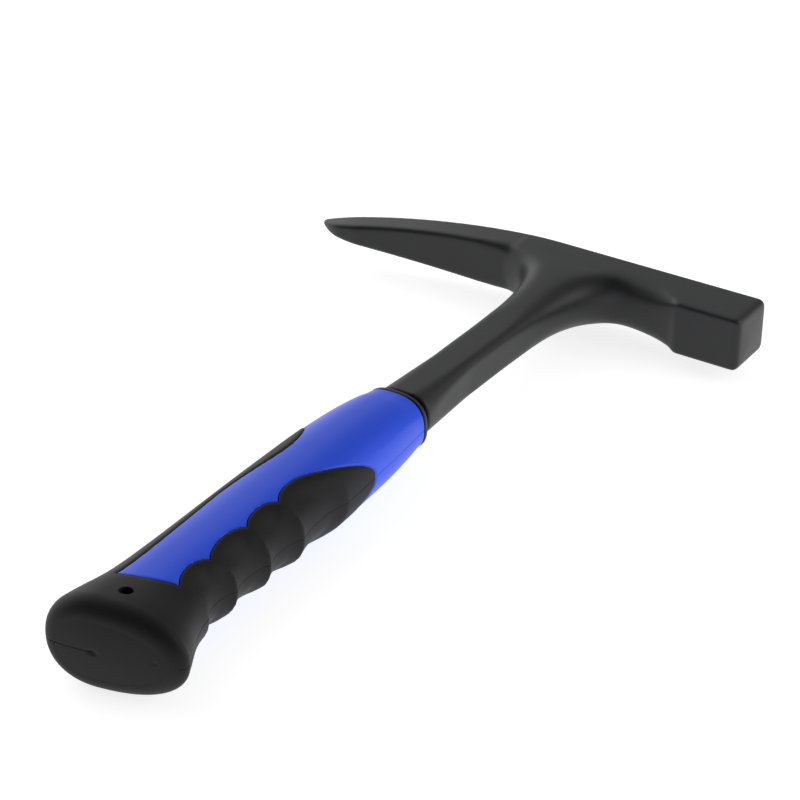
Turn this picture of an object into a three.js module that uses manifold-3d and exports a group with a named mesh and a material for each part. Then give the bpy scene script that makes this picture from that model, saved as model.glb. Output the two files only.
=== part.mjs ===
// Geologist's pick hammer: one steel forging (striking block, pick, shank and tang) with a two-shot
// moulded grip. Millimetres. The hammer lies on its cheek with its mid-plane level.
// Inside `hammer`, x runs along the head towards the striking face, with 0 on the handle's axis,
// y runs up the handle from the butt (0 just below it) to the crown, and z through the thickness,
// with 0 at the mid-plane.
import * as THREE from 'three';
import { mergeVertices } from 'three/addons/utils/BufferGeometryUtils.js';
import Module from 'manifold-3d';

const wasm = await Module();
wasm.setup();

// ---- driving dimensions -------------------------------------------------------------------
const GAP = 0.3; // left between pieces that touch on the real object

const CROWN_Y = 304.8; // crown, which is flat over the neck and the block
const FACE_X = 77.4; // striking face
const BLOCK_REAR_X = 51; // where the square block starts
const BLOCK_HALF = 10.9; // half the block's thickness
const BLOCK_UNDER_Y = 282.6; // underside of the block
const FACE_EDGE_RADIUS = 2.2;
const TIP_X = -113.2; // point of the pick
const PICK_BEND_X = -12; // the crown is straight from here to the face and drops towards the tip
const PICK_CROWN_RADIUS = 275; // of the drop along the crown
const PICK_UNDER_Y = 289.4; // underside of the pick at its root
const PICK_UNDER_RADIUS = 235; // of the drop along the underside
const PICK_UNDER_BEND_X = -30; // the underside is straight from here to the shank
const NECK_PEAK = { x: 28, y: 287.4 }; // highest point of the scoop between shank and block

const SHANK_HALF_WIDTH = 8.2;
const SHANK_HALF_THICK = 7.6;

const GRIP_TOP_Y = 168.5; // mouth of the blue sleeve
const RING = { length: 1.7, halfWidth: 12.8, halfThick: 10.9, power: 2.6 };
const TANG_END_Y = 42;
const TANG_HALF_WIDTH = 7;
const TANG_HALF_THICK = 3;
const TANG_EDGE_RADIUS = 1.2;
const TANG_HOLES_Y = [64, 97, 130];
const TANG_HOLE_RADIUS = 3.6;
const PEG_LENGTH = 10;
const SHOULDER = { y: 162, halfWidth: 9.4, halfThick: 7, edgeRadius: 4 }; // of the tang, inside the mouth

const SOFT_SIDE_THICK = 2.4; // soft shot over the core on the cheeks and the back
const SOFT_FRONT_THICK = 5; // and under the fingers
const LANYARD = { x: 4.2, y: 18.3, radius: 2.2, eyeRadius: 4.4 }; // hole, and its eye through the core
const FINGER_RIDGES_Y = [37, 54, 71.5, 89.5, 116]; // on the front mid-line
const FINGER_GROOVE_DEPTH = 1.6;
const PANEL_HEEL = [-6.2, 25.9]; // corners of the blue panel on the cheeks
const FINGER_CUSPS = [[12, 33.6], [10.9, 50.1], [10, 70.2], [9.7, 87.2]];
const TONGUE_ROOT = [8.9, 107.1];
const TONGUE_TIP = [15.8, 133];
const STRIP_WIDEST = [-6.9, 117]; // where the back strip reaches furthest round
const CORE_BOTTOM_Y = 11;
const BUTT_END_Y = 5.2; // end face on the handle's axis
const BUTT_SLANT = 0.22; // rise of the end face towards the finger side, per millimetre
const BUTT_SLANT_FADE = 28; // length over which the slant dies out
const BUTT_RIM_RADIUS = 6.5;
const BUTT_HALF_THICK = 16.9;

const RING_POINTS = 40; // points round a grip section
const CORNER_POINTS = 5; // points on each rounded corner of a forged section
const THROUGH = 60; // length of a plug or slab that passes through the whole grip

// ---- small tools --------------------------------------------------------------------------

// Smooth curve through [position, value] stations, flat beyond its ends.
function profile(stations) {
  const last = stations.length - 1;
  const slope = (i) => {
    if (i === 0 || i === last) return 0;
    const [x0, v0] = stations[i - 1];
    const [x1, v1] = stations[i + 1];
    return (v1 - v0) / (x1 - x0);
  };
  return (x) => {
    if (x <= stations[0][0]) return stations[0][1];
    if (x >= stations[last][0]) return stations[last][1];
    const i = stations.findIndex(([edge]) => edge > x) - 1;
    const [x0, v0] = stations[i];
    const [x1, v1] = stations[i + 1];
    const span = x1 - x0;
    const t = (x - x0) / span;
    return (
      v0 * (1 + 2 * t) * (1 - t) ** 2 + v1 * t * t * (3 - 2 * t) +
      span * t * (1 - t) * (slope(i) * (1 - t) - slope(i + 1) * t)
    );
  };
}

// Closed body through rings of equal point count, with a flat cap on each end.
function loft(rings) {
  const count = rings[0].length;
  const positions = rings.flat().flatMap((p) => [p.x, p.y, p.z]);
  const triangles = [];
  for (let r = 0; r + 1 < rings.length; r++) {
    for (let i = 0; i < count; i++) {
      const a = r * count + i;
      const b = r * count + ((i + 1) % count);
      triangles.push(a, b, b + count, a, b + count, a + count);
    }
  }
  for (const [ring, flip] of [[0, true], [rings.length - 1, false]]) {
    const centre = rings[ring].reduce((sum, p) => sum.add(p), new THREE.Vector3()).divideScalar(count);
    const hub = positions.length / 3;
    positions.push(centre.x, centre.y, centre.z);
    for (let i = 0; i < count; i++) {
      const a = ring * count + i;
      const b = ring * count + ((i + 1) % count);
      triangles.push(...(flip ? [hub, b, a] : [hub, a, b]));
    }
  }
  const geometry = new THREE.BufferGeometry();
  geometry.setAttribute('position', new THREE.Float32BufferAttribute(positions, 3));
  geometry.setIndex(triangles);
  return geometry;
}

// Rounded rectangle, counter-clockwise, as [u, v] pairs, with its own radius at each end of u.
function roundedRectangle(uLow, uHigh, vHalf, lowRadius, highRadius = lowRadius) {
  const [low, high] = [lowRadius, highRadius].map((r) => Math.min(r, (uHigh - uLow) / 2.02, vHalf * 0.98));
  const corners = [
    [uHigh - high, vHalf - high, high],
    [uLow + low, vHalf - low, low],
    [uLow + low, low - vHalf, low],
    [uHigh - high, high - vHalf, high],
  ];
  return corners.flatMap(([u, v, r], quarter) =>
    Array.from({ length: CORNER_POINTS }, (_, k) => {
      const angle = (quarter + k / (CORNER_POINTS - 1)) * Math.PI / 2;
      return [u + r * Math.cos(angle), v + r * Math.sin(angle)];
    }),
  );
}

function solid(geometry) {
  const bare = new THREE.BufferGeometry();
  bare.setAttribute('position', geometry.getAttribute('position').clone());
  if (geometry.index) bare.setIndex(geometry.index.clone());
  const merged = mergeVertices(bare, 1e-4);
  return new wasm.Manifold(new wasm.Mesh({
    numProp: 3,
    vertProperties: new Float32Array(merged.getAttribute('position').array),
    triVerts: new Uint32Array(merged.index.array),
  }));
}

function geometryOf(manifold) {
  const mesh = manifold.getMesh();
  const geometry = new THREE.BufferGeometry();
  geometry.setAttribute('position', new THREE.BufferAttribute(new Float32Array(mesh.vertProperties), 3));
  geometry.setIndex(new THREE.BufferAttribute(new Uint32Array(mesh.triVerts), 1));
  return geometry;
}

// Straight plug through the thickness, standing at (x, y).
function plugAlongZ(x, y, radius, length) {
  const plug = new THREE.CylinderGeometry(radius, radius, length, 24);
  plug.rotateX(Math.PI / 2);
  plug.translate(x, y, 0);
  return solid(plug);
}

// ---- forged steel -------------------------------------------------------------------------

const sagBeyond = (x, start, radius) => Math.max(0, start - x) ** 2 / (2 * radius);
const crownY = (x) => CROWN_Y - sagBeyond(x, PICK_BEND_X, PICK_CROWN_RADIUS);
const pickUnderY = (x) => PICK_UNDER_Y - sagBeyond(x, PICK_UNDER_BEND_X, PICK_UNDER_RADIUS);

// Half-thickness of the head, full over the neck and block and drawn out to the pick's point.
const headHalfThick = profile([
  [TIP_X - 3, 0.2], [TIP_X, 1], [-108.4, 2.2], [-100, 3.8], [-90, 5.2], [-80, 6.4], [-65, 7.9], [-45, 9.5],
  [-25, 10.6], [-10, BLOCK_HALF],
]);

// Underside of the head from the tip to the striking face, without the fillets into the shank.
const noseLift = profile([
  [TIP_X - 2, 11.5], [TIP_X, 9.1], [-110.4, 6.3], [-107.9, 4.2], [-104.6, 2.2], [-100, 0.8], [-94, 0],
]);
const neckUnderY = profile([
  [-20, PICK_UNDER_Y], [14, 287.6], [NECK_PEAK.x, NECK_PEAK.y], [36, 286.4], [42, 285.4], [47, 284.2],
  [BLOCK_REAR_X, BLOCK_UNDER_Y],
]);
function headUnderY(x) {
  if (x < -20) return pickUnderY(x) + noseLift(x);
  return x < BLOCK_REAR_X ? neckUnderY(x) : BLOCK_UNDER_Y;
}

// The crown's edges stay crisp; the underside's edges are full over the neck and crisp on the block.
const headUnderRadius = profile([
  [TIP_X, 0.9], [-100, 1.8], [-36, 2.4], [-18, 6], [0, 6], [36, 5.5], [42, 5], [47, 3.4],
  [BLOCK_REAR_X, 1.4],
]);
const headCrownRadius = profile([[TIP_X, 0.7], [-90, 1.2], [-30, 1.8]]);

function headSection(x, inset = 0) {
  const outline = roundedRectangle(
    headUnderY(x) + inset, crownY(x) - inset, headHalfThick(x) - inset,
    headUnderRadius(x), headCrownRadius(x),
  );
  return outline.map(([y, z]) => new THREE.Vector3(x, y, z));
}

function headBody() {
  const pick = [TIP_X, -112.2, -110.4, -107.9, -104.6, -100, -94, -86, -78, -69, -60, -48, -37, -26];
  const neck = [-10, 10, 20, NECK_PEAK.x, 30, 34, 38, 42, 45, 47.5, 49.5, BLOCK_REAR_X];
  const faceRounding = [0, 22.5, 45, 67.5, 90].map((degrees) => {
    const angle = THREE.MathUtils.degToRad(degrees);
    const x = FACE_X - FACE_EDGE_RADIUS * (1 - Math.sin(angle));
    return headSection(x, FACE_EDGE_RADIUS * (1 - Math.cos(angle)));
  });
  return solid(loft([...[...pick, ...neck].map((x) => headSection(x)), ...faceRounding]));
}

// Fillets: the shank's two edges sweep out into the pick and into the neck.
const shankBackX = profile([
  [215, -SHANK_HALF_WIDTH], [245, -8.8], [265, -11.2], [276, -14.2], [284, -19], [288.6, -27],
  [290.6, -34],
]);
const shankFrontX = profile([
  [215, SHANK_HALF_WIDTH - 0.6], [245, 8.4], [262, 10.4], [274, 13.4], [282, 17.4], [287.6, 23],
  [290.6, 30],
]);
const shankHalfThick = profile([
  [GRIP_TOP_Y, 8.7], [186, 8.1], [205, SHANK_HALF_THICK], [235, SHANK_HALF_THICK], [260, 8.8],
  [286, BLOCK_HALF - 0.1],
]);
const shankFlareToRing = profile([[GRIP_TOP_Y, 3.4], [177, 2.9], [186, 1.8], [196, 0.8], [208, 0]]);
const shankEdgeRadius = profile([
  [GRIP_TOP_Y, 8], [190, 4.8], [208, 3], [230, 3], [247, 4.4], [264, 7.2], [282, 9.4],
]);

// A section of the shank or tang, across the handle at y, from an outline in x and z.
const acrossHandle = (y, outline) => outline.map(([x, z]) => new THREE.Vector3(x, y, -z));

function shankSection(y, extra = 0) {
  return acrossHandle(y, roundedRectangle(
    shankBackX(y) - shankFlareToRing(y) - extra,
    shankFrontX(y) + shankFlareToRing(y) + extra,
    shankHalfThick(y) + extra,
    shankEdgeRadius(y) + extra,
  ));
}

function shankBody() {
  const plain = [GRIP_TOP_Y + GAP, 173, 178, 183, 189, 196, 206, 220, 235];
  const fillets = [250, 262, 271, 278, 283, 287, 290, 291.4, 294, 300];
  return solid(loft([...plain, ...fillets].map((y) => shankSection(y))));
}

function tangSection(y, extra) {
  const half = TANG_HALF_WIDTH + extra + THREE.MathUtils.mapLinear(y, TANG_END_Y, SHOULDER.y, -1.2, 0.8);
  return acrossHandle(y, roundedRectangle(-half, half, TANG_HALF_THICK + extra, TANG_EDGE_RADIUS));
}

// The flat tang and its shoulder inside the sleeve's mouth, grown all round by `extra`.
function tangBody(extra) {
  const flat = [TANG_END_Y - extra, 70, 110, 154, 159].map((y) => tangSection(y, extra));
  const half = SHOULDER.halfWidth + extra;
  const shoulder = [SHOULDER.y, GRIP_TOP_Y + 1].map((y) =>
    acrossHandle(y, roundedRectangle(-half, half, SHOULDER.halfThick + extra, SHOULDER.edgeRadius)));
  return solid(loft([...flat, ...shoulder]));
}

function forgedHammer() {
  let tang = tangBody(0);
  for (const y of TANG_HOLES_Y) tang = tang.subtract(plugAlongZ(0, y, TANG_HOLE_RADIUS, THROUGH));
  return headBody().add(shankBody()).add(tang);
}

// ---- grip -----------------------------------------------------------------------------------

const gripBack = profile([
  [BUTT_END_Y, 18.3], [14, 17.8], [30, 15.9], [50, 15.6], [80, 16.3], [110, 16.6], [132, 16.6],
  [148, 15.8], [160, 14.5], [GRIP_TOP_Y, 13.1],
]);
const gripFront = profile([
  [BUTT_END_Y, 30.7], [14, 27.9], [30, 21.4], [44, 18.3], [70, 17.8], [105, 17.6], [132, 16],
  [148, 14.9], [160, 13.6], [GRIP_TOP_Y, 12.8],
]);
const gripHalfThick = profile([
  [BUTT_END_Y, BUTT_HALF_THICK], [14, 16.2], [32, 13.7], [60, 13.4], [105, 14], [132, 14],
  [148, 13.4], [160, 12.3], [GRIP_TOP_Y, 11.1],
]);
const gripPower = profile([[BUTT_END_Y, 2.2], [50, 2.5]]); // squareness of the oval

// Depth of the finger grooves: none on the ridges, full midway between them.
function fingerGroove(y) {
  const i = FINGER_RIDGES_Y.findIndex((ridge) => ridge > y);
  if (i < 1) return 0;
  const t = (y - FINGER_RIDGES_Y[i - 1]) / (FINGER_RIDGES_Y[i] - FINGER_RIDGES_Y[i - 1]);
  return FINGER_GROOVE_DEPTH * Math.sin(Math.PI * t) ** 1.2;
}

// Oval section with its own reach to the back and to the finger side; near the butt it lies askew.
function gripSection(y, back, front, halfThick, power = gripPower(y)) {
  const slant = BUTT_SLANT * Math.max(0, 1 - (y - BUTT_END_Y) / BUTT_SLANT_FADE);
  return Array.from({ length: RING_POINTS }, (_, k) => {
    const angle = (-k / RING_POINTS) * 2 * Math.PI;
    const c = Math.cos(angle);
    const s = Math.sin(angle);
    const x = (c > 0 ? front : -back) * Math.abs(c) ** (2 / power);
    return new THREE.Vector3(x, y + slant * x, halfThick * Math.sign(s) * Math.abs(s) ** (2 / power));
  });
}

// Whole outside of the grip, both shots together.
function gripOutside() {
  const rings = [90, 70, 50, 30, 12].map((degrees) => {
    const angle = THREE.MathUtils.degToRad(degrees);
    const y = BUTT_END_Y + BUTT_RIM_RADIUS * (1 - Math.sin(angle));
    const inset = BUTT_RIM_RADIUS * (1 - Math.cos(angle));
    return gripSection(y, gripBack(y) - inset, gripFront(y) - inset, gripHalfThick(y) - inset);
  });
  for (let y = BUTT_END_Y + BUTT_RIM_RADIUS; y < GRIP_TOP_Y - 1; y += 3.5) {
    rings.push(gripSection(y, gripBack(y), gripFront(y) - fingerGroove(y), gripHalfThick(y)));
  }
  const top = GRIP_TOP_Y;
  rings.push(gripSection(top, gripBack(top), gripFront(top), gripHalfThick(top)));
  return solid(loft(rings));
}

// Core under the soft shot, grown all round by `extra`.
function coreInside(extra) {
  const endRounding = profile([[CORE_BOTTOM_Y, 7], [CORE_BOTTOM_Y + 3, 3], [CORE_BOTTOM_Y + 9, 0]]);
  const rings = [CORE_BOTTOM_Y - extra, 12.5, 15, 20, 28, 36, 46, 60, 80, 105, 130, 150].map((y) => {
    const side = SOFT_SIDE_THICK + endRounding(y) - extra;
    const front = SOFT_FRONT_THICK + endRounding(y) - extra;
    return gripSection(y, gripBack(y) - side, gripFront(y) - front, gripHalfThick(y) - side);
  });
  const eye = plugAlongZ(LANYARD.x, LANYARD.y, LANYARD.eyeRadius - extra, THROUGH);
  return solid(loft(rings)).subtract(eye);
}

// Plan outline of the blue: the whole grip above the finger pad and the back strip, and the long
// cheek panel between them, scalloped round each finger.
function blueOutline() {
  const shape = new THREE.Shape();
  shape.moveTo(...PANEL_HEEL);
  shape.quadraticCurveTo(1.5, 27.2, ...FINGER_CUSPS[0]);
  for (let i = 0; i + 1 < FINGER_CUSPS.length; i++) {
    const [x0, y0] = FINGER_CUSPS[i];
    const [x1, y1] = FINGER_CUSPS[i + 1];
    shape.bezierCurveTo(x0 - 3.6, y0 + 3.6, x1 - 4.4, y1 - 4, x1, y1);
  }
  shape.bezierCurveTo(6.1, 91, 5.2, 99, ...TONGUE_ROOT);
  shape.bezierCurveTo(12.3, 115.5, 14.8, 124, ...TONGUE_TIP);
  shape.quadraticCurveTo(16.3, 137.5, 20, 139.5);
  shape.lineTo(40, 145);
  shape.lineTo(40, 190);
  shape.lineTo(-40, 190);
  shape.lineTo(-40, 139);
  shape.lineTo(-18, 136.5);
  shape.bezierCurveTo(-11.5, 133, -7.6, 126, ...STRIP_WIDEST);
  shape.bezierCurveTo(-6.2, 108, -9.5, 97, -9.6, 80);
  shape.lineTo(...PANEL_HEEL);
  return shape;
}

// Offsets a counter-clockwise outline outwards by `distance`, with mitred corners.
function grown(points, distance) {
  const outward = (from, to) => new THREE.Vector2(to.y - from.y, from.x - to.x).normalize();
  return points.map((p, i) => {
    const before = outward(points[(i + points.length - 1) % points.length], p);
    const after = outward(p, points[(i + 1) % points.length]);
    const middle = before.clone().add(after).normalize();
    return p.clone().addScaledVector(middle, distance / Math.max(middle.dot(after), 0.5));
  });
}

function blueZone(extra) {
  const drawn = blueOutline().extractPoints(6).shape;
  const points = drawn.filter((p, i) => p.distanceTo(drawn[(i + 1) % drawn.length]) > 0.01);
  if (THREE.ShapeUtils.isClockWise(points)) points.reverse();
  const shape = new THREE.Shape(grown(points, extra));
  const slab = new THREE.ExtrudeGeometry(shape, { depth: THROUGH, bevelEnabled: false });
  slab.translate(0, 0, -THROUGH / 2);
  return solid(slab);
}

function gripCore() {
  let core = gripOutside().intersect(blueZone(0)).add(coreInside(0)).subtract(tangBody(GAP));
  for (const y of TANG_HOLES_Y) core = core.add(plugAlongZ(0, y, TANG_HOLE_RADIUS - GAP, PEG_LENGTH));
  return core;
}

function softGrip() {
  return gripOutside()
    .subtract(blueZone(GAP))
    .subtract(coreInside(GAP))
    .subtract(plugAlongZ(LANYARD.x, LANYARD.y, LANYARD.radius, THROUGH));
}

// Ring at the sleeve's mouth, round the shank.
function collarRing() {
  const low = GRIP_TOP_Y + GAP;
  const high = low + RING.length;
  const outside = loft([[low, 0], [high - 0.5, 0.1], [high, 0.6]].map(([y, inset]) => {
    const halfWidth = RING.halfWidth - inset;
    return gripSection(y, halfWidth, halfWidth, RING.halfThick - inset, RING.power);
  }));
  const bore = loft([low - 1, low + 1, high + 1].map((y) => shankSection(y, GAP)));
  return solid(outside).subtract(solid(bore));
}

// ---- assembly -----------------------------------------------------------------------------

function piece(name, manifold, color, roughness, metalness) {
  const material = new THREE.MeshStandardMaterial({ color, roughness, metalness });
  const mesh = new THREE.Mesh(geometryOf(manifold), material);
  mesh.name = name;
  return mesh;
}

const hammer = new THREE.Group();
hammer.add(
  piece('forged_hammer', forgedHammer(), 0x2b2c2f, 0.55, 0.6),
  piece('grip_core', gripCore(), 0x2c4fd0, 0.3, 0),
  piece('soft_grip', softGrip(), 0x1d1d1f, 0.7, 0),
  piece('collar_ring', collarRing(), 0x222224, 0.6, 0),
);

// The frame's origin: under the middle of the whole hammer, on the surface that it lies on.
const box = new THREE.Box3().setFromObject(hammer);
const middle = box.getCenter(new THREE.Vector3());
hammer.position.set(-middle.x, -middle.y, -box.min.z);

const group = new THREE.Group();
group.add(hammer);
export default group;
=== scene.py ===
import math

import bpy
import numpy as np
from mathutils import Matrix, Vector


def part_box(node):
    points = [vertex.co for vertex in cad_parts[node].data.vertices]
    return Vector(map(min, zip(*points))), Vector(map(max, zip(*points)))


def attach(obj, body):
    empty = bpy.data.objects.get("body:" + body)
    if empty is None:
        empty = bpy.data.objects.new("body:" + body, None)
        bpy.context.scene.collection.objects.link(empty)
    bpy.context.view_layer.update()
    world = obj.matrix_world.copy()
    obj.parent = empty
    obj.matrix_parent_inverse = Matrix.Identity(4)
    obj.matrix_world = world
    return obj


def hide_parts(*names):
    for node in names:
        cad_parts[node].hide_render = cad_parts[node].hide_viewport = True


# A geologist's pick hammer, lying on its cheek: one black-coated steel forging with a two-shot
# moulded grip. The frame is loaded first, and every piece is made round it, in metres.
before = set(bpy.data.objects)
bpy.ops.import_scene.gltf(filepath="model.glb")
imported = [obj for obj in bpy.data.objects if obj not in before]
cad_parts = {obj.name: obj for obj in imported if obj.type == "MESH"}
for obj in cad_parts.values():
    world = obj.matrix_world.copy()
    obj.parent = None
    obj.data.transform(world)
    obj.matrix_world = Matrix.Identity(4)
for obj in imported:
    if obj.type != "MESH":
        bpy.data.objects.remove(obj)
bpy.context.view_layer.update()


# ---- Studio -------------------------------------------------------------------------------------
# A camera on a long lens, from the butt and the striking side, a third of the way up.
# The hammer lies on a pale sweep in a light tent that is a little darker behind the camera.

CAMERA_AZIMUTH = math.radians(33.87)
CAMERA_ELEVATION = math.radians(30.24)
CAMERA_DISTANCE = 0.8054
AIM_FROM_FACE_CORNER = Vector((-0.0833, -0.1242, 0))

hammer_low, hammer_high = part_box("forged_hammer")
middle_z = (hammer_low.z + hammer_high.z) / 2
aim = Vector((hammer_high.x, hammer_high.y, middle_z)) + AIM_FROM_FACE_CORNER
towards_camera = Vector((
    math.sin(CAMERA_AZIMUTH) * math.cos(CAMERA_ELEVATION),
    -math.cos(CAMERA_AZIMUTH) * math.cos(CAMERA_ELEVATION),
    math.sin(CAMERA_ELEVATION),
))
lens = bpy.data.cameras.new("camera")
lens.lens = 101.45
lens.sensor_width = 36
lens.clip_start = 0.01
camera = bpy.data.objects.new("camera", lens)
camera.location = aim + CAMERA_DISTANCE * towards_camera
camera.rotation_euler = towards_camera.to_track_quat("Z", "Y").to_euler()
bpy.context.scene.collection.objects.link(camera)
bpy.context.scene.camera = camera
bpy.context.scene.view_settings.view_transform = "Standard"


def softbox(name, place, size, power):
    """A square area lamp at `place`, turned to the hammer."""
    lamp = bpy.data.lights.new(name, "AREA")
    lamp.shape = "SQUARE"
    lamp.size = size
    lamp.energy = power
    box = bpy.data.objects.new(name, lamp)
    box.location = place
    box.rotation_euler = Vector(place).to_track_quat("Z", "Y").to_euler()
    bpy.context.scene.collection.objects.link(box)


softbox("right_softbox", place=(1.1, 0.5, 0.55), size=0.9, power=4)


def new_node(tree, kind, inputs=None, **settings):
    """A shader node with its settings and input values; an input given as a socket is linked."""
    node = tree.nodes.new(kind)
    for key, value in settings.items():
        setattr(node, key, value)
    for key, value in (inputs or {}).items():
        if isinstance(value, bpy.types.NodeSocket):
            tree.links.new(value, node.inputs[key])
        else:
            node.inputs[key].default_value = value
    return node


def wall_patch(tree, towards, edge, middle, outside, inside):
    """Strength of the tent's wall: `inside` in a soft round patch, and `outside` around it.

    The patch starts where a direction reaches `edge` along `towards`, and is full at `middle`.
    """
    direction = new_node(tree, "ShaderNodeTexCoord").outputs["Generated"]
    facing = new_node(
        tree, "ShaderNodeVectorMath", {0: direction, 1: towards}, operation="DOT_PRODUCT")
    patch = new_node(
        tree, "ShaderNodeMapRange",
        {"Value": facing.outputs["Value"], "From Min": edge, "From Max": middle,
         "To Min": outside, "To Max": inside},
        interpolation_type="SMOOTHSTEP")
    return patch.outputs["Result"]


def light_tent():
    """White walls, brightest at the pick's end and dimmer in a wide patch behind the camera."""
    world = bpy.data.worlds.new("light_tent")
    world.use_nodes = True
    tree = world.node_tree
    tree.nodes.clear()
    bright = wall_patch(tree, (-0.95, 0.05, 0.3), edge=0.5, middle=0.95, outside=0.45, inside=1.7)
    dimming = wall_patch(tree, (0.05, -0.85, 0.5), edge=0.2, middle=0.85, outside=1.0, inside=0.2)
    strength = new_node(tree, "ShaderNodeMath", {0: bright, 1: dimming}, operation="MULTIPLY")
    background = new_node(tree, "ShaderNodeBackground", {
        "Color": (1, 1, 1, 1), "Strength": strength.outputs["Value"]})
    new_node(tree, "ShaderNodeOutputWorld", {"Surface": background.outputs["Background"]})
    bpy.context.scene.world = world


light_tent()


def new_material(name):
    """An empty material: its Principled shader and its node tree."""
    material = bpy.data.materials.new(name)
    material.use_nodes = True
    tree = material.node_tree
    shader = tree.nodes["Principled BSDF"]
    return material, tree, shader


def pale_sweep():
    """A wide sheet of matt white board under the hammer."""
    half = 4.0
    mesh = bpy.data.meshes.new("sweep")
    corners = [(-half, -half, 0), (half, -half, 0), (half, half, 0), (-half, half, 0)]
    mesh.from_pydata(corners, [], [(0, 1, 2, 3)])
    sweep = bpy.data.objects.new("sweep", mesh)
    bpy.context.scene.collection.objects.link(sweep)
    material, _, shader = new_material("white_board")
    shader.inputs["Base Color"].default_value = (0.6, 0.6, 0.6, 1)
    shader.inputs["Roughness"].default_value = 0.9
    shader.inputs["Specular IOR Level"].default_value = 0.1
    shader.inputs["Emission Color"].default_value = (1, 1, 1, 1)
    shader.inputs["Emission Strength"].default_value = 0.8
    mesh.materials.append(material)


pale_sweep()


# ---- Forged hammer ------------------------------------------------------------------------------
# Block, neck, pick, shank and tang are one steel forging, drop forged, ground on its cheeks, and
# coated satin black. The shank sweeps into the head in wide fillets, and the tang inside the grip
# is flat, with holes that lock the plastic.

# Sizes are in millimetres: x from the handle's axis to the striking face, y up the handle to the
# crown, and z from the mid-plane.
MM = 0.001
FACE_X = 77.4
CROWN_Y = 304.8
BLOCK_REAR_X = 51.0
BLOCK_HALF = 10.9
BLOCK_UNDER_Y = 282.6
TIP_X = -113.2
PICK_BEND_X = -12.0
PICK_CROWN_RADIUS = 275.0
PICK_UNDER_Y = 289.4
PICK_UNDER_BEND_X = -30.0
PICK_UNDER_RADIUS = 235.0

ORIGIN = Vector((hammer_high.x - FACE_X * MM, hammer_high.y - CROWN_Y * MM, middle_z))


def profile(*stations):
    """Smooth curve through (position, value) stations, flat beyond its ends."""
    at, value = np.array(stations, float).T
    slope = np.zeros(len(at))
    slope[1:-1] = (value[2:] - value[:-2]) / (at[2:] - at[:-2])

    def curve(x):
        x = np.clip(x, at[0], at[-1])
        i = np.clip(np.searchsorted(at, x, "right") - 1, 0, len(at) - 2)
        span = at[i + 1] - at[i]
        t = (x - at[i]) / span
        bend = span * t * (1 - t) * (slope[i] * (1 - t) - slope[i + 1] * t)
        return value[i] * (1 + 2 * t) * (1 - t) ** 2 + value[i + 1] * t * t * (3 - 2 * t) + bend

    return curve


def new_piece(name, points, faces):
    """A mesh object in the frame, from points in millimetres."""
    mesh = bpy.data.meshes.new(name)
    placed = np.asarray(points, float) * MM + np.array(ORIGIN)
    mesh.from_pydata(placed.tolist(), [], faces)
    piece = bpy.data.objects.new(name, mesh)
    bpy.context.scene.collection.objects.link(piece)
    return piece


def loft(name, rings):
    """Closed mesh through rings of equal point count, with a fan over each end."""
    rings = np.asarray(rings, float)
    rows, count, _ = rings.shape
    points = np.concatenate([rings.reshape(-1, 3), [rings[0].mean(0), rings[-1].mean(0)]])
    faces = []
    for r in range(rows - 1):
        for i in range(count):
            a = r * count + i
            b = r * count + (i + 1) % count
            faces.append((a, b, b + count, a + count))
    first, last = rows * count, rows * count + 1
    for i in range(count):
        j = (i + 1) % count
        faces.append((first, j, i))
        faces.append((last, last - 1 - count + i, last - 1 - count + j))
    return new_piece(name, points, faces)


def rounded_rectangle(low, high, half, radius, high_radius=None, corner_points=11):
    """Counter-clockwise (u, v) points of a rounded rectangle from low to high, +-half."""
    largest = min((high - low) / 2.02, half * 0.98)  # the corners stop just short of meeting
    low_radius = min(radius, largest)
    high_radius = min(high_radius or radius, largest)
    turn = np.linspace(0, math.pi / 2, corner_points)
    outline = []
    for quarter, r in enumerate((high_radius, low_radius, low_radius, high_radius)):
        u = low + r if quarter in (1, 2) else high - r
        v = half - r if quarter < 2 else r - half
        angle = turn + quarter * math.pi / 2
        outline.append(np.stack([u + r * np.cos(angle), v + r * np.sin(angle)], 1))
    return np.concatenate(outline)


def settle(piece):
    """Applies the piece's modifiers to its mesh."""
    bpy.context.view_layer.update()
    graph = bpy.context.evaluated_depsgraph_get()
    mesh = bpy.data.meshes.new_from_object(piece.evaluated_get(graph))
    piece.modifiers.clear()
    piece.data = mesh
    mesh.name = piece.name


def combine(piece, operation, *tools):
    """Joins the tools to the piece, cuts them from it, or keeps what they share with it."""
    for tool in tools:
        boolean = piece.modifiers.new("combine", "BOOLEAN")
        boolean.operation = operation
        boolean.solver = "MANIFOLD"
        boolean.object = tool
        settle(piece)
        bpy.data.objects.remove(tool)
    return piece


def plug_along_z(name, x, y, radius, half_length, sides=48):
    """A straight plug through the thickness."""
    turn = np.linspace(0, -2 * math.pi, sides, endpoint=False)
    return loft(name, [
        np.stack([x + radius * np.cos(turn), y - radius * np.sin(turn), np.full(sides, z)], 1)
        for z in (-half_length, half_length)
    ])


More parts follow.
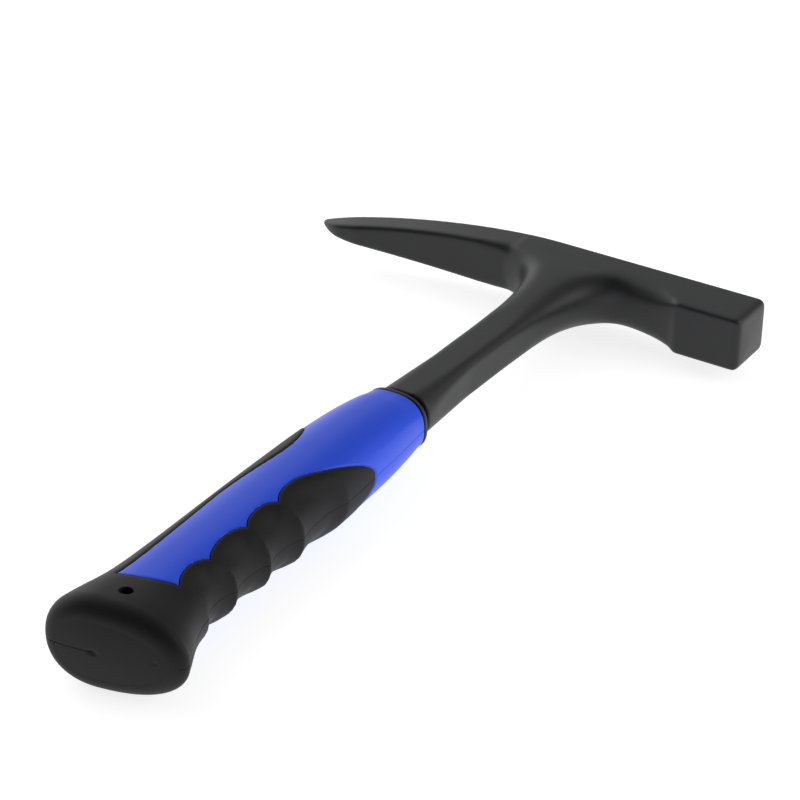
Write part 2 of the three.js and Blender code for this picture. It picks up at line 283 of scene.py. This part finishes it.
head_half_thick = profile(
    (TIP_X - 3, 0.2), (TIP_X, 1.0), (-108.4, 2.2), (-100, 3.8), (-90, 5.2), (-80, 6.4), (-65, 7.9),
    (-45, 9.5), (-25, 10.6), (-10, BLOCK_HALF))
nose_lift = profile(
    (TIP_X - 2, 11.5), (TIP_X, 9.1), (-110.4, 6.3), (-107.9, 4.2), (-104.6, 2.2), (-100, 0.8),
    (-94, 0))
neck_under_y = profile(
    (-20, PICK_UNDER_Y), (14, 287.6), (28, 287.4), (36, 286.4), (42, 285.4), (47, 284.2),
    (BLOCK_REAR_X, BLOCK_UNDER_Y))
head_under_radius = profile(
    (TIP_X, 0.9), (-100, 1.8), (-36, 2.4), (-18, 6), (0, 6), (36, 5.5), (42, 5),
    (47, 3.4), (BLOCK_REAR_X, 1.4))
head_crown_radius = profile((TIP_X, 0.7), (-90, 1.2), (-30, 1.8))


def sag_beyond(x, start, radius):
    return max(0, start - x) ** 2 / (2 * radius)


def head_under_y(x):
    """Underside of the head, without the fillets into the shank."""
    if x < -20:
        return PICK_UNDER_Y - sag_beyond(x, PICK_UNDER_BEND_X, PICK_UNDER_RADIUS) + nose_lift(x)
    return neck_under_y(x) if x < BLOCK_REAR_X else BLOCK_UNDER_Y


def head_ring(x, inset=0.0, crown_inset=0.0):
    crown = CROWN_Y - sag_beyond(x, PICK_BEND_X, PICK_CROWN_RADIUS)
    outline = rounded_rectangle(
        head_under_y(x) + inset, crown - crown_inset, head_half_thick(x) - inset,
        head_under_radius(x), head_crown_radius(x))
    return np.column_stack([np.full(len(outline), x), outline])


FACE_EDGE_RADIUS = 2.4
FACE_DOME = 0.35
CROWN_EDGE_SHARE = 0.4  # the face's crown edge is dressed less than the other three


def head_body():
    """The head from the pick's tip to the striking face, which is domed with its edges dressed."""
    tip = np.linspace(TIP_X, -100, 14)
    pick_and_neck = np.arange(-99, BLOCK_REAR_X, 1.0)
    block = (BLOCK_REAR_X, BLOCK_REAR_X + 0.6, 60, 68)
    rings = [head_ring(x) for x in (*tip, *pick_and_neck, *block)]
    for angle in np.linspace(0, math.pi / 2, 8):
        setback = FACE_DOME + FACE_EDGE_RADIUS * (1 - math.sin(angle))
        inset = FACE_EDGE_RADIUS * (1 - math.cos(angle))
        rings.append(head_ring(FACE_X - setback, inset, CROWN_EDGE_SHARE * inset))
    rim = rings[-1]
    for share in (0.75, 0.5, 0.25):
        ring = rim.mean(0) + share * (rim - rim.mean(0))
        ring[:, 0] += FACE_DOME * (1 - share ** 2)
        rings.append(ring)
    return loft("head", rings)


GRIP_TOP_Y = 168.5
shank_back_x = profile(
    (215, -8.2), (245, -8.8), (265, -11.2), (276, -14.2), (284, -19), (288.6, -27), (290.6, -34))
shank_front_x = profile(
    (215, 7.6), (245, 8.4), (262, 10.4), (274, 13.4), (282, 17.4), (287.6, 23), (290.6, 30))
shank_half_thick = profile(
    (GRIP_TOP_Y, 8.7), (186, 8.1), (205, 7.6), (235, 7.6), (260, 8.8), (286, 10.8))
shank_flare_to_ring = profile((GRIP_TOP_Y, 3.4), (177, 2.9), (186, 1.8), (196, 0.8), (208, 0))
shank_edge_radius = profile(
    (GRIP_TOP_Y, 8), (190, 4.8), (208, 3), (230, 3), (247, 4.4), (264, 7.2), (282, 9.4))


def along_handle(outline, y):
    """Stands an outline of (x, z) points across the handle at y."""
    return np.column_stack([outline[:, 0], np.full(len(outline), y), -outline[:, 1]])


def shank_ring(y, extra=0.0):
    flare = shank_flare_to_ring(y)
    outline = rounded_rectangle(
        shank_back_x(y) - flare - extra, shank_front_x(y) + flare + extra,
        shank_half_thick(y) + extra, shank_edge_radius(y) + extra)
    return along_handle(outline, y)


TANG_END_Y = 42.0
TANG_STATIONS_Y = (70.0, 110.0, 154.0, 159.0)
TANG_END_HALF_WIDTH = 5.8
TANG_TOP_HALF_WIDTH = 7.8
TANG_HALF_THICK = 3.0
TANG_EDGE_RADIUS = 1.2
TANG_HOLES_Y = (64.0, 97.0, 130.0)
TANG_HOLE_RADIUS = 3.6
SHOULDER_Y = 162.0
SHOULDER_HALF_WIDTH = 9.4
SHOULDER_HALF_THICK = 7.0
SHOULDER_EDGE_RADIUS = 4.0


def tang_body(extra):
    """The flat tang and the shoulder inside the sleeve's mouth, grown all round by `extra`."""
    half_width = profile(
        (TANG_END_Y, TANG_END_HALF_WIDTH + extra), (SHOULDER_Y, TANG_TOP_HALF_WIDTH + extra))
    rings = []
    for y in (TANG_END_Y - extra, *TANG_STATIONS_Y):
        half = half_width(y)
        outline = rounded_rectangle(-half, half, TANG_HALF_THICK + extra, TANG_EDGE_RADIUS)
        rings.append(along_handle(outline, y))
    half = SHOULDER_HALF_WIDTH + extra
    outline = rounded_rectangle(-half, half, SHOULDER_HALF_THICK + extra, SHOULDER_EDGE_RADIUS)
    rings += [along_handle(outline, y) for y in (SHOULDER_Y, GRIP_TOP_Y + 1)]
    return loft("tang", rings)


# Where shank, neck and pick flow into each other, and the deeper fillet under the neck.
CROSSING_MIDDLE, CROSSING_REACH = (0.0, 273.0), (52.0, 29.0)
NECK_MIDDLE, NECK_REACH = (27.0, 289.0), (17.0, 10.0)
CROSSING_SHARE = 0.45
CROSSING_PASSES = 260


def reach_from(middle, reach, x, y):
    """How far a place is from the middle, where 1 is the reach."""
    return math.hypot((x - middle[0]) / reach[0], (y - middle[1]) / reach[1])


def soften_crossing(piece):
    """Evens out the fillets where the shank runs into the head, and leaves the rest."""
    crossing = piece.vertex_groups.new(name="crossing")
    for vertex in piece.data.vertices:
        x, y, _ = (vertex.co - ORIGIN) / MM
        in_crossing = 1 - reach_from(CROSSING_MIDDLE, CROSSING_REACH, x, y) ** 4
        in_neck = 1 - reach_from(NECK_MIDDLE, NECK_REACH, x, y) ** 2
        weight = max(CROSSING_SHARE * in_crossing, in_neck)
        if weight > 0:
            crossing.add([vertex.index], weight, "REPLACE")
    sweep = piece.modifiers.new("sweep", "SMOOTH")
    sweep.vertex_group = crossing.name
    sweep.factor = 0.5
    sweep.iterations = CROSSING_PASSES
    settle(piece)
    piece.vertex_groups.clear()


# Open fault: the shank's foot stands 4.7 mm above the tang's shoulder, so the two don't meet.
SHANK_FOOT_Y = 174.2
SHANK_STEP = 1.4
SHANK_STATIONS_IN_HEAD_Y = (291.4, 294.0, 300.0)
VOXEL = 0.5
DRESSING_PASSES = 10


def forged_hammer():
    stations = (*np.arange(SHANK_FOOT_Y, 290, SHANK_STEP), *SHANK_STATIONS_IN_HEAD_Y)
    shank = loft("shank", [shank_ring(y) for y in stations])
    piece = combine(head_body(), "UNION", shank)
    piece.name = "forged_hammer_visual"
    forging = piece.modifiers.new("forging", "REMESH")
    forging.mode = "VOXEL"
    forging.voxel_size = VOXEL * MM
    forging.use_smooth_shade = True
    dressing = piece.modifiers.new("dressing", "SMOOTH")
    dressing.factor = 0.5
    dressing.iterations = DRESSING_PASSES
    settle(piece)
    soften_crossing(piece)
    tang = tang_body(0)
    for y in TANG_HOLES_Y:
        combine(tang, "DIFFERENCE", plug_along_z("tang_hole", 0, y, TANG_HOLE_RADIUS, 10))
    return combine(piece, "UNION", tang)


def new_group(name, inputs, outputs):
    """A shader node group with named inputs, their default values, and named outputs."""
    group = bpy.data.node_groups.new(name, "ShaderNodeTree")
    for key, value in inputs.items():
        socket = group.interface.new_socket(key, in_out="INPUT", socket_type="NodeSocketFloat")
        socket.default_value = value
    for key in outputs:
        group.interface.new_socket(key, in_out="OUTPUT", socket_type="NodeSocketFloat")
    return group, group.nodes.new("NodeGroupInput"), group.nodes.new("NodeGroupOutput")


def surface_grain():
    """Fine grain and broad patches of a moulded or coated surface, both from 0 to 1."""
    group, given, result = new_group(
        "surface_grain", {"Grain scale": 1500.0, "Patch scale": 60.0}, ("Grain", "Patches"))
    place = new_node(group, "ShaderNodeTexCoord").outputs["Object"]
    grain = new_node(group, "ShaderNodeTexNoise", {
        "Vector": place, "Scale": given.outputs["Grain scale"], "Detail": 3.0, "Roughness": 0.6})
    patches = new_node(group, "ShaderNodeTexNoise", {
        "Vector": place, "Scale": given.outputs["Patch scale"], "Detail": 4.0, "Roughness": 0.55})
    group.links.new(grain.outputs["Fac"], result.inputs["Grain"])
    group.links.new(patches.outputs["Fac"], result.inputs["Patches"])
    return group


def edge_wear():
    """Mask of the edges that stand out, broken up as rubbing breaks them."""
    group, given, result = new_group(
        "edge_wear", {"Sharpest": 0.56, "Bluntest": 0.52, "Break scale": 300.0}, ("Wear",))
    edges = new_node(group, "ShaderNodeMapRange", {
        "Value": new_node(group, "ShaderNodeNewGeometry").outputs["Pointiness"],
        "From Min": given.outputs["Bluntest"], "From Max": given.outputs["Sharpest"]})
    breaks = new_node(group, "ShaderNodeTexNoise", {
        "Vector": new_node(group, "ShaderNodeTexCoord").outputs["Object"],
        "Scale": given.outputs["Break scale"], "Detail": 5.0})
    rubbed = new_node(group, "ShaderNodeMapRange", {
        "Value": breaks.outputs["Fac"], "From Min": 0.35, "From Max": 0.65})
    wear = new_node(group, "ShaderNodeMath", {
        0: edges.outputs["Result"], 1: rubbed.outputs["Result"]}, operation="MULTIPLY")
    group.links.new(wear.outputs["Value"], result.inputs["Wear"])
    return group


GRAIN = surface_grain()
WEAR = edge_wear()


def placed_group(tree, group, **values):
    node = tree.nodes.new("ShaderNodeGroup")
    node.node_tree = group
    for key, value in values.items():
        node.inputs[key.replace("_", " ")].default_value = value
    return node


def ranged(tree, value, low, high):
    """A 0 to 1 value spread from low to high."""
    node = new_node(tree, "ShaderNodeMapRange", {"Value": value, "To Min": low, "To Max": high})
    return node.outputs["Result"]


def tinted(tree, mask, base, other):
    """Base colour, turning to the other colour where the mask is 1."""
    factor, first_colour, second_colour, mixed = 0, 6, 7, 2  # the node's sockets for colours
    node = new_node(
        tree, "ShaderNodeMix", {factor: mask, first_colour: (*base, 1), second_colour: (*other, 1)},
        data_type="RGBA")
    return node.outputs[mixed]


def finished(material, tree, shader, colour, roughness, height, depth):
    """Feeds colour, roughness and a bump of `depth` metres to the material's shader."""
    tree.links.new(colour, shader.inputs["Base Color"])
    tree.links.new(roughness, shader.inputs["Roughness"])
    bump = new_node(tree, "ShaderNodeBump", {"Height": height, "Distance": depth, "Strength": 1.0})
    tree.links.new(bump.outputs["Normal"], shader.inputs["Normal"])
    return material


def black_coating():
    """Satin black coating on forged steel: a fine tooth, slow patches, edges rubbed grey."""
    material, tree, shader = new_material("black_coating")
    grain = placed_group(tree, GRAIN, Grain_scale=1400.0, Patch_scale=45.0)
    wear = placed_group(tree, WEAR, Sharpest=0.62, Bluntest=0.53)
    colour = tinted(tree, wear.outputs["Wear"], (0.0135, 0.014, 0.0155), (0.04, 0.04, 0.042))
    roughness = ranged(tree, grain.outputs["Patches"], 0.36, 0.5)
    shader.inputs["Specular IOR Level"].default_value = 0.4
    return finished(material, tree, shader, colour, roughness, grain.outputs["Grain"], 0.04 * MM)


hammer = forged_hammer()
hammer.data.materials.clear()
hammer.data.materials.append(black_coating())
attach(hammer, "root")
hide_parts("forged_hammer")


# ---- Grip core ----------------------------------------------------------------------------------
# First shot of the grip: hard, glossy blue plastic, moulded on the tang, with pegs through its
# holes. It shows as the sleeve below the collar and as a long panel on each cheek.

GAP = 0.1
SEAM_HALF_WIDTH = 0.16
BUTT_END_Y = 5.2
BUTT_SLANT = 0.22
BUTT_SLANT_FADE = 28.0
BUTT_RIM_RADIUS = 6.5
BUTT_DOME = 0.9
MOUTH_RADIUS = 0.8
FLANK_STEP = 0.6
LANYARD_X, LANYARD_Y, LANYARD_RADIUS = 4.2, 18.3, 2.2
LANYARD_EYE_RADIUS = 4.4

grip_back = profile(
    (BUTT_END_Y, 18.3), (14, 17.8), (30, 15.9), (50, 15.6), (80, 16.3), (110, 16.6), (132, 16.6),
    (148, 15.8), (160, 14.5), (GRIP_TOP_Y, 13.1))
grip_front = profile(
    (BUTT_END_Y, 30.7), (14, 27.9), (30, 21.4), (44, 18.3), (70, 17.8), (105, 17.6), (132, 16),
    (148, 14.9), (160, 13.6), (GRIP_TOP_Y, 12.8))
grip_half_thick = profile(
    (BUTT_END_Y, 16.9), (14, 16.2), (32, 13.7), (60, 13.4), (105, 14), (132, 14), (148, 13.4),
    (160, 12.3), (GRIP_TOP_Y, 11.1))
grip_power = profile((BUTT_END_Y, 2.2), (50, 2.5))


def ring_angles():
    """Even angles round a section, with closer ones beside the mould's parting plane."""
    quarter = np.linspace(0, math.pi / 2, 61)
    beside = np.array([0.0022, 0.0055, 0.0105])
    half = np.concatenate([
        quarter[:1], beside, quarter[1:], math.pi - quarter[-2:0:-1], math.pi - beside[::-1]])
    return -np.concatenate([half, math.pi + half])


ANGLES = ring_angles()


def grip_ring(y, back, front, half_thick, angles=ANGLES):
    """Oval section with its own reach to the back and the finger side; near the butt it is askew."""
    slant = BUTT_SLANT * max(0, 1 - (y - BUTT_END_Y) / BUTT_SLANT_FADE)
    power = 2 / grip_power(y)
    c, s = np.cos(angles), np.sin(angles)
    x = np.where(c > 0, front, -back) * np.abs(c) ** power
    return np.column_stack([x, y + slant * x, half_thick * np.sign(s) * np.abs(s) ** power])


def grip_rings():
    """Rings over the whole outside of the grip: end face, rim, flanks and the sleeve's mouth."""
    def inset_ring(y, inset):
        return grip_ring(y, grip_back(y) - inset, grip_front(y) - inset, grip_half_thick(y) - inset)

    rim = []
    for turn in np.linspace(math.pi / 2, 0, 24):
        y = BUTT_END_Y + BUTT_RIM_RADIUS * (1 - math.sin(turn))
        rim.append(inset_ring(y, BUTT_RIM_RADIUS * (1 - math.cos(turn))))
    middle = rim[0].mean(0)
    end_face = []
    for share in np.linspace(0.03, 0.97, 30):
        ring = middle + share * (rim[0] - middle)
        ring[:, 1] -= BUTT_DOME * (1 - share ** 2)
        end_face.append(ring)
    flank_low_y = BUTT_END_Y + BUTT_RIM_RADIUS + FLANK_STEP
    flank = [inset_ring(y, 0) for y in np.arange(flank_low_y, GRIP_TOP_Y - 1, FLANK_STEP)]
    mouth = []
    for turn in np.linspace(0, math.pi / 2, 5):
        y = GRIP_TOP_Y - MOUTH_RADIUS + MOUTH_RADIUS * math.sin(turn)
        mouth.append(inset_ring(y, MOUTH_RADIUS * (1 - math.cos(turn))))
    return np.array(end_face + rim + flank + mouth)


# Plan outline of the blue: the heel of the cheek panel, a cusp between each two fingers, the finger
# pad's tongue, the sleeve above, and the back strip.
PANEL_HEEL = (-6.2, 25.9)
FINGER_CUSPS = ((12, 33.6), (10.9, 50.1), (10, 70.2), (9.7, 87.2))
TONGUE_ROOT = (8.9, 107.1)
TONGUE_TIP = (15.8, 133)
SLEEVE_FRONT = (20, 139.5)
STRIP_WIDEST = (-6.9, 117.0)
STRIP_FOOT = (-9.6, 80)


def bezier(points, steps=14):
    """Points along a Bezier curve of any degree, without its last."""
    t = np.linspace(0, 1, steps, endpoint=False)[:, None]
    degree = len(points) - 1
    return sum(math.comb(degree, k) * t ** k * (1 - t) ** (degree - k) * np.array(p)
               for k, p in enumerate(points))


def blue_outline():
    curves = [bezier([PANEL_HEEL, (1.5, 27.2), FINGER_CUSPS[0]])]
    for (x0, y0), (x1, y1) in zip(FINGER_CUSPS, FINGER_CUSPS[1:]):
        curves.append(bezier([(x0, y0), (x0 - 3.6, y0 + 3.6), (x1 - 4.4, y1 - 4), (x1, y1)]))
    curves.append(bezier([FINGER_CUSPS[-1], (6.1, 91), (5.2, 99), TONGUE_ROOT], 18))
    curves.append(bezier([TONGUE_ROOT, (12.3, 115.5), (14.8, 124), TONGUE_TIP], 18))
    curves.append(bezier([TONGUE_TIP, (16.3, 137.5), SLEEVE_FRONT], 8))
    curves.append(np.array([SLEEVE_FRONT, (40, 145), (40, 190), (-40, 190), (-40, 139)]))
    curves.append(bezier([(-18, 136.5), (-11.5, 133), (-7.6, 126), STRIP_WIDEST], 16))
    curves.append(bezier([STRIP_WIDEST, (-6.2, 108), (-9.5, 97), STRIP_FOOT], 16))
    curves.append(np.array([STRIP_FOOT]))
    return np.concatenate(curves)


OUTLINE = blue_outline()


def grown(outline, distance):
    """A counter-clockwise outline, moved outwards by `distance` with mitred corners."""
    edge = np.roll(outline, -1, 0) - outline
    outward = np.stack([edge[:, 1], -edge[:, 0]], 1) / np.linalg.norm(edge, axis=1)[:, None]
    before = np.roll(outward, 1, 0)
    middle = before + outward
    middle /= np.linalg.norm(middle, axis=1)[:, None]
    reach = np.maximum((middle * outward).sum(1), 0.5)
    return outline + middle * (distance / reach)[:, None]


def blue_zone(extra):
    """The blue's plan outline, carried through the thickness."""
    outline = grown(OUTLINE, extra)
    count = len(outline)
    points = [(x, y, z) for z in (-30, 30) for x, y in outline]
    faces = [tuple(range(count - 1, -1, -1)), tuple(range(count, 2 * count))]
    faces += [(i, (i + 1) % count, count + (i + 1) % count, count + i) for i in range(count)]
    return new_piece("blue_zone", points, faces)


def seam_distance(points):
    """Plan distance to the blue's outline, negative inside the blue, and its direction."""
    start, end = OUTLINE, np.roll(OUTLINE, -1, 0)
    edge = end - start
    best = np.full(len(points), np.inf)
    away = np.zeros((len(points), 2))
    inside = np.zeros(len(points), bool)
    for a, b, e in zip(start, end, edge):
        t = np.clip(((points - a) @ e) / (e @ e), 0, 1)
        offset = points - a - t[:, None] * e
        distance = np.linalg.norm(offset, axis=1)
        nearer = distance < best
        best[nearer], away[nearer] = distance[nearer], offset[nearer]
        crossing = (a[1] > points[:, 1]) != (b[1] > points[:, 1])
        if e[1]:
            inside ^= crossing & (points[:, 0] < a[0] + (points[:, 1] - a[1]) / e[1] * e[0])
    away /= np.maximum(best, 1e-6)[:, None]
    return np.where(inside, -best, best), away


def smoothstep(t):
    t = np.clip(t, 0, 1)
    return t * t * (3 - 2 * t)


# The finger side is scooped between ridges that run from each cusp to the front. The butt has
# its parting line, a dimple where the plastic came in, and a small round ejector mark.
FRONT_RIDGES_Y = (37.0, 54.0, 71.5, 89.5, 116.0)
RIDGE_FRONT_X = 17.8
SCOOP_DEPTH = 2.0
SCOOP_RUN = 8.0
SCOOP_POWER = 2.3
SOFT_PROUD = 0.25
SOFT_PROUD_RUN = 1.5
SEAM_ROLL = 0.55
PARTING_DEPTH = 0.14
PARTING_HALF_WIDTH = 0.16
GATE_X = 1.3
GATE_RADIUS = 2.6
GATE_SQUEEZE = 1.5
GATE_DEPTH = 0.5
PIN_MARK_X, PIN_MARK_Z = 21.4, 1.0
PIN_MARK_RADIUS = 1.1
PIN_MARK_DEPTH = 0.2


def finger_scoops(points):
    """Share of the full scoop at each point: none on the ridges, all midway between them."""
    share = np.zeros(len(points))
    cusps = (*FINGER_CUSPS, TONGUE_ROOT)
    ridges = []
    for (x, y), front_y in zip(cusps, FRONT_RIDGES_Y):
        ridges.append(y + (points[:, 0] - x) * (front_y - y) / (RIDGE_FRONT_X - x))
    for low, high in zip(ridges, ridges[1:]):
        t = (points[:, 1] - low) / (high - low)
        share += np.where((t > 0) & (t < 1), 1 - np.abs(2 * t - 1) ** SCOOP_POWER, 0)
    return share * (points[:, 0] > 0)


def moulded_detail(rings):
    """Moves the outside in and out: scoops, the two shots' rolled edges, and the parting line."""
    across = np.roll(rings, -1, 1) - np.roll(rings, 1, 1)
    along = np.gradient(rings, axis=0)
    normal = np.cross(across, along)
    normal /= np.linalg.norm(normal, axis=2)[..., None]
    points, normal = rings.reshape(-1, 3), normal.reshape(-1, 3)
    plan, away = seam_distance(points[:, :2])
    lean = (away * normal[:, :2]).sum(1)
    run = np.sqrt(np.maximum(1 - lean ** 2, 0.04))
    distance = plan / run
    soft = distance > 0
    rise = np.where(soft, SOFT_PROUD * smoothstep(distance / SOFT_PROUD_RUN), 0.0)
    near = np.clip(1 - np.abs(distance) / SEAM_ROLL, 0, 1)
    rise -= SEAM_ROLL * (1 - np.sqrt(1 - near ** 2))
    rise -= SCOOP_DEPTH * finger_scoops(points) * smoothstep(plan / SCOOP_RUN)
    parting = np.exp(-(points[:, 2] / PARTING_HALF_WIDTH) ** 2)
    on_end_face = points[:, 1] < BUTT_END_Y + 1 + BUTT_SLANT * points[:, 0]
    has_parting = np.where(on_end_face, points[:, 0] < GATE_X, soft | (points[:, 0] > 0))
    rise -= PARTING_DEPTH * parting * has_parting
    gate = np.hypot(points[:, 0] - GATE_X, GATE_SQUEEZE * points[:, 2])
    rise -= GATE_DEPTH * on_end_face * smoothstep(1 - gate / GATE_RADIUS)
    pin = np.hypot(points[:, 0] - PIN_MARK_X, points[:, 2] - PIN_MARK_Z)
    rise -= PIN_MARK_DEPTH * on_end_face * smoothstep(1 - pin / PIN_MARK_RADIUS)
    return (points + rise[:, None] * normal).reshape(rings.shape)


CORE_DEPTH_AT_SIDES = 2.4
CORE_DEPTH_AT_FRONT = 5.0


def core_inside(extra):
    """Core under the soft shot, grown all round by `extra`, with room for the lanyard's eye."""
    end_rounding = profile((11, 7), (14, 3), (20, 0))
    angles = -np.linspace(0, 2 * math.pi, 72, endpoint=False)
    rings = []
    for y in (11 - extra, 12.5, 15, 20, 28, 36, 46, 60, 80, 105, 130, 150):
        inset = end_rounding(y) - extra
        rings.append(grip_ring(
            y, grip_back(y) - CORE_DEPTH_AT_SIDES - inset, grip_front(y) - CORE_DEPTH_AT_FRONT - inset,
            grip_half_thick(y) - CORE_DEPTH_AT_SIDES - inset, angles))
    eye = plug_along_z("eye", LANYARD_X, LANYARD_Y, LANYARD_EYE_RADIUS - extra, 30)
    return combine(loft("core_inside", rings), "DIFFERENCE", eye)


GRIP_SURFACE = moulded_detail(grip_rings())


def shade(piece, angle=32):
    """Smooth shading, with edges sharper than `angle` degrees left crisp."""
    piece.data.polygons.foreach_set("use_smooth", [True] * len(piece.data.polygons))
    piece.data.set_sharp_from_angle(angle=math.radians(angle))


def grip_core():
    piece = combine(loft("grip_core_visual", GRIP_SURFACE), "INTERSECT", blue_zone(-SEAM_HALF_WIDTH))
    combine(piece, "UNION", core_inside(0))
    combine(piece, "DIFFERENCE", tang_body(GAP))
    for y in TANG_HOLES_Y:
        combine(piece, "UNION", plug_along_z("peg", 0, y, TANG_HOLE_RADIUS - GAP, 5))
    shade(piece)
    return piece


def blue_plastic():
    """Hard blue plastic off a polished mould: even colour, a faint flow in its gloss."""
    material, tree, shader = new_material("blue_plastic")
    grain = placed_group(tree, GRAIN, Grain_scale=900.0, Patch_scale=30.0)
    wear = placed_group(tree, WEAR, Sharpest=0.66, Bluntest=0.55)
    colour = tinted(tree, wear.outputs["Wear"], (0.01, 0.082, 0.9), (0.03, 0.12, 0.95))
    roughness = ranged(tree, grain.outputs["Patches"], 0.28, 0.4)
    shader.inputs["Specular IOR Level"].default_value = 0.4
    return finished(material, tree, shader, colour, roughness, grain.outputs["Grain"], 0.006 * MM)


core = grip_core()
core.data.materials.clear()
core.data.materials.append(blue_plastic())
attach(core, "root")
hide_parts("grip_core")


# ---- Soft grip ----------------------------------------------------------------------------------
# Second shot of the grip: black thermoplastic rubber over the core. It is the butt, the pad with
# a scoop for each finger, and the strip down the back, and it lines the lanyard hole.


LANYARD_FLARE = ((30.0, 5.0), (16.2, 2.5), (15.4, 2.2), (14.6, LANYARD_RADIUS))


def lanyard_hole(sides=48):
    """Plug with flared ends that leaves the hole's rounded lips."""
    turn = np.linspace(0, -2 * math.pi, sides, endpoint=False)
    stations = [(-z, r) for z, r in LANYARD_FLARE] + [(z, r) for z, r in reversed(LANYARD_FLARE)]
    rings = []
    for z, r in stations:
        x, y = LANYARD_X + r * np.cos(turn), LANYARD_Y - r * np.sin(turn)
        rings.append(np.column_stack([x, y, np.full(sides, z)]))
    return loft("lanyard_hole", rings)


def soft_grip():
    piece = combine(loft("soft_grip_visual", GRIP_SURFACE), "DIFFERENCE", blue_zone(SEAM_HALF_WIDTH))
    combine(piece, "DIFFERENCE", core_inside(GAP), lanyard_hole())
    shade(piece)
    return piece


def black_rubber():
    """Matt black rubber with the mould's spark-eroded grain."""
    material, tree, shader = new_material("black_rubber")
    grain = placed_group(tree, GRAIN, Grain_scale=2200.0, Patch_scale=70.0)
    wear = placed_group(tree, WEAR, Sharpest=0.66, Bluntest=0.55)
    colour = tinted(tree, wear.outputs["Wear"], (0.0075, 0.0075, 0.009), (0.018, 0.018, 0.019))
    roughness = ranged(tree, grain.outputs["Patches"], 0.46, 0.6)
    shader.inputs["Specular IOR Level"].default_value = 0.22
    return finished(material, tree, shader, colour, roughness, grain.outputs["Grain"], 0.05 * MM)


soft = soft_grip()
soft.data.materials.clear()
soft.data.materials.append(black_rubber())
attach(soft, "root")
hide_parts("soft_grip")


# ---- Collar ring --------------------------------------------------------------------------------
# Thin black plastic ring at the mouth of the sleeve, pushed down round the shank.

RING_LOW_Y = GRIP_TOP_Y + 0.3
RING_LENGTH = 1.7
RING_HALF_WIDTH = 12.8
RING_HALF_THICK = 10.9
RING_POWER = 2.6
RING_LOW_BEVEL = 0.25
RING_TOP_RADIUS = 0.7


def collar_ring():
    angles = -np.linspace(0, 2 * math.pi, 160, endpoint=False)
    power = 2 / RING_POWER
    c, s = np.cos(angles), np.sin(angles)

    def oval(y, inset):
        x = (RING_HALF_WIDTH - inset) * np.sign(c) * np.abs(c) ** power
        z = (RING_HALF_THICK - inset) * np.sign(s) * np.abs(s) ** power
        return np.column_stack([x, np.full(len(x), y), z])

    lip = [(RING_LOW_Y, RING_LOW_BEVEL), (RING_LOW_Y + RING_LOW_BEVEL, 0)]
    for turn in np.linspace(0, math.pi / 2, 7):
        y = RING_LOW_Y + RING_LENGTH - RING_TOP_RADIUS + RING_TOP_RADIUS * math.sin(turn)
        lip.append((y, RING_TOP_RADIUS * (1 - math.cos(turn))))
    piece = loft("collar_ring_visual", [oval(y, inset) for y, inset in lip])
    along = np.linspace(RING_LOW_Y - 1, RING_LOW_Y + RING_LENGTH + 1, 6)
    bore = loft("bore", [shank_ring(y, GAP) for y in along])
    combine(piece, "DIFFERENCE", bore)
    shade(piece)
    return piece


def black_plastic():
    """Plain matt black plastic."""
    material, tree, shader = new_material("black_plastic")
    grain = placed_group(tree, GRAIN, Grain_scale=2000.0, Patch_scale=90.0)
    wear = placed_group(tree, WEAR, Sharpest=0.66, Bluntest=0.55)
    colour = tinted(tree, wear.outputs["Wear"], (0.012, 0.012, 0.013), (0.03, 0.03, 0.03))
    roughness = ranged(tree, grain.outputs["Patches"], 0.4, 0.52)
    return finished(material, tree, shader, colour, roughness, grain.outputs["Grain"], 0.03 * MM)


ring = collar_ring()
ring.data.materials.clear()
ring.data.materials.append(black_plastic())
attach(ring, "root")
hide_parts("collar_ring")
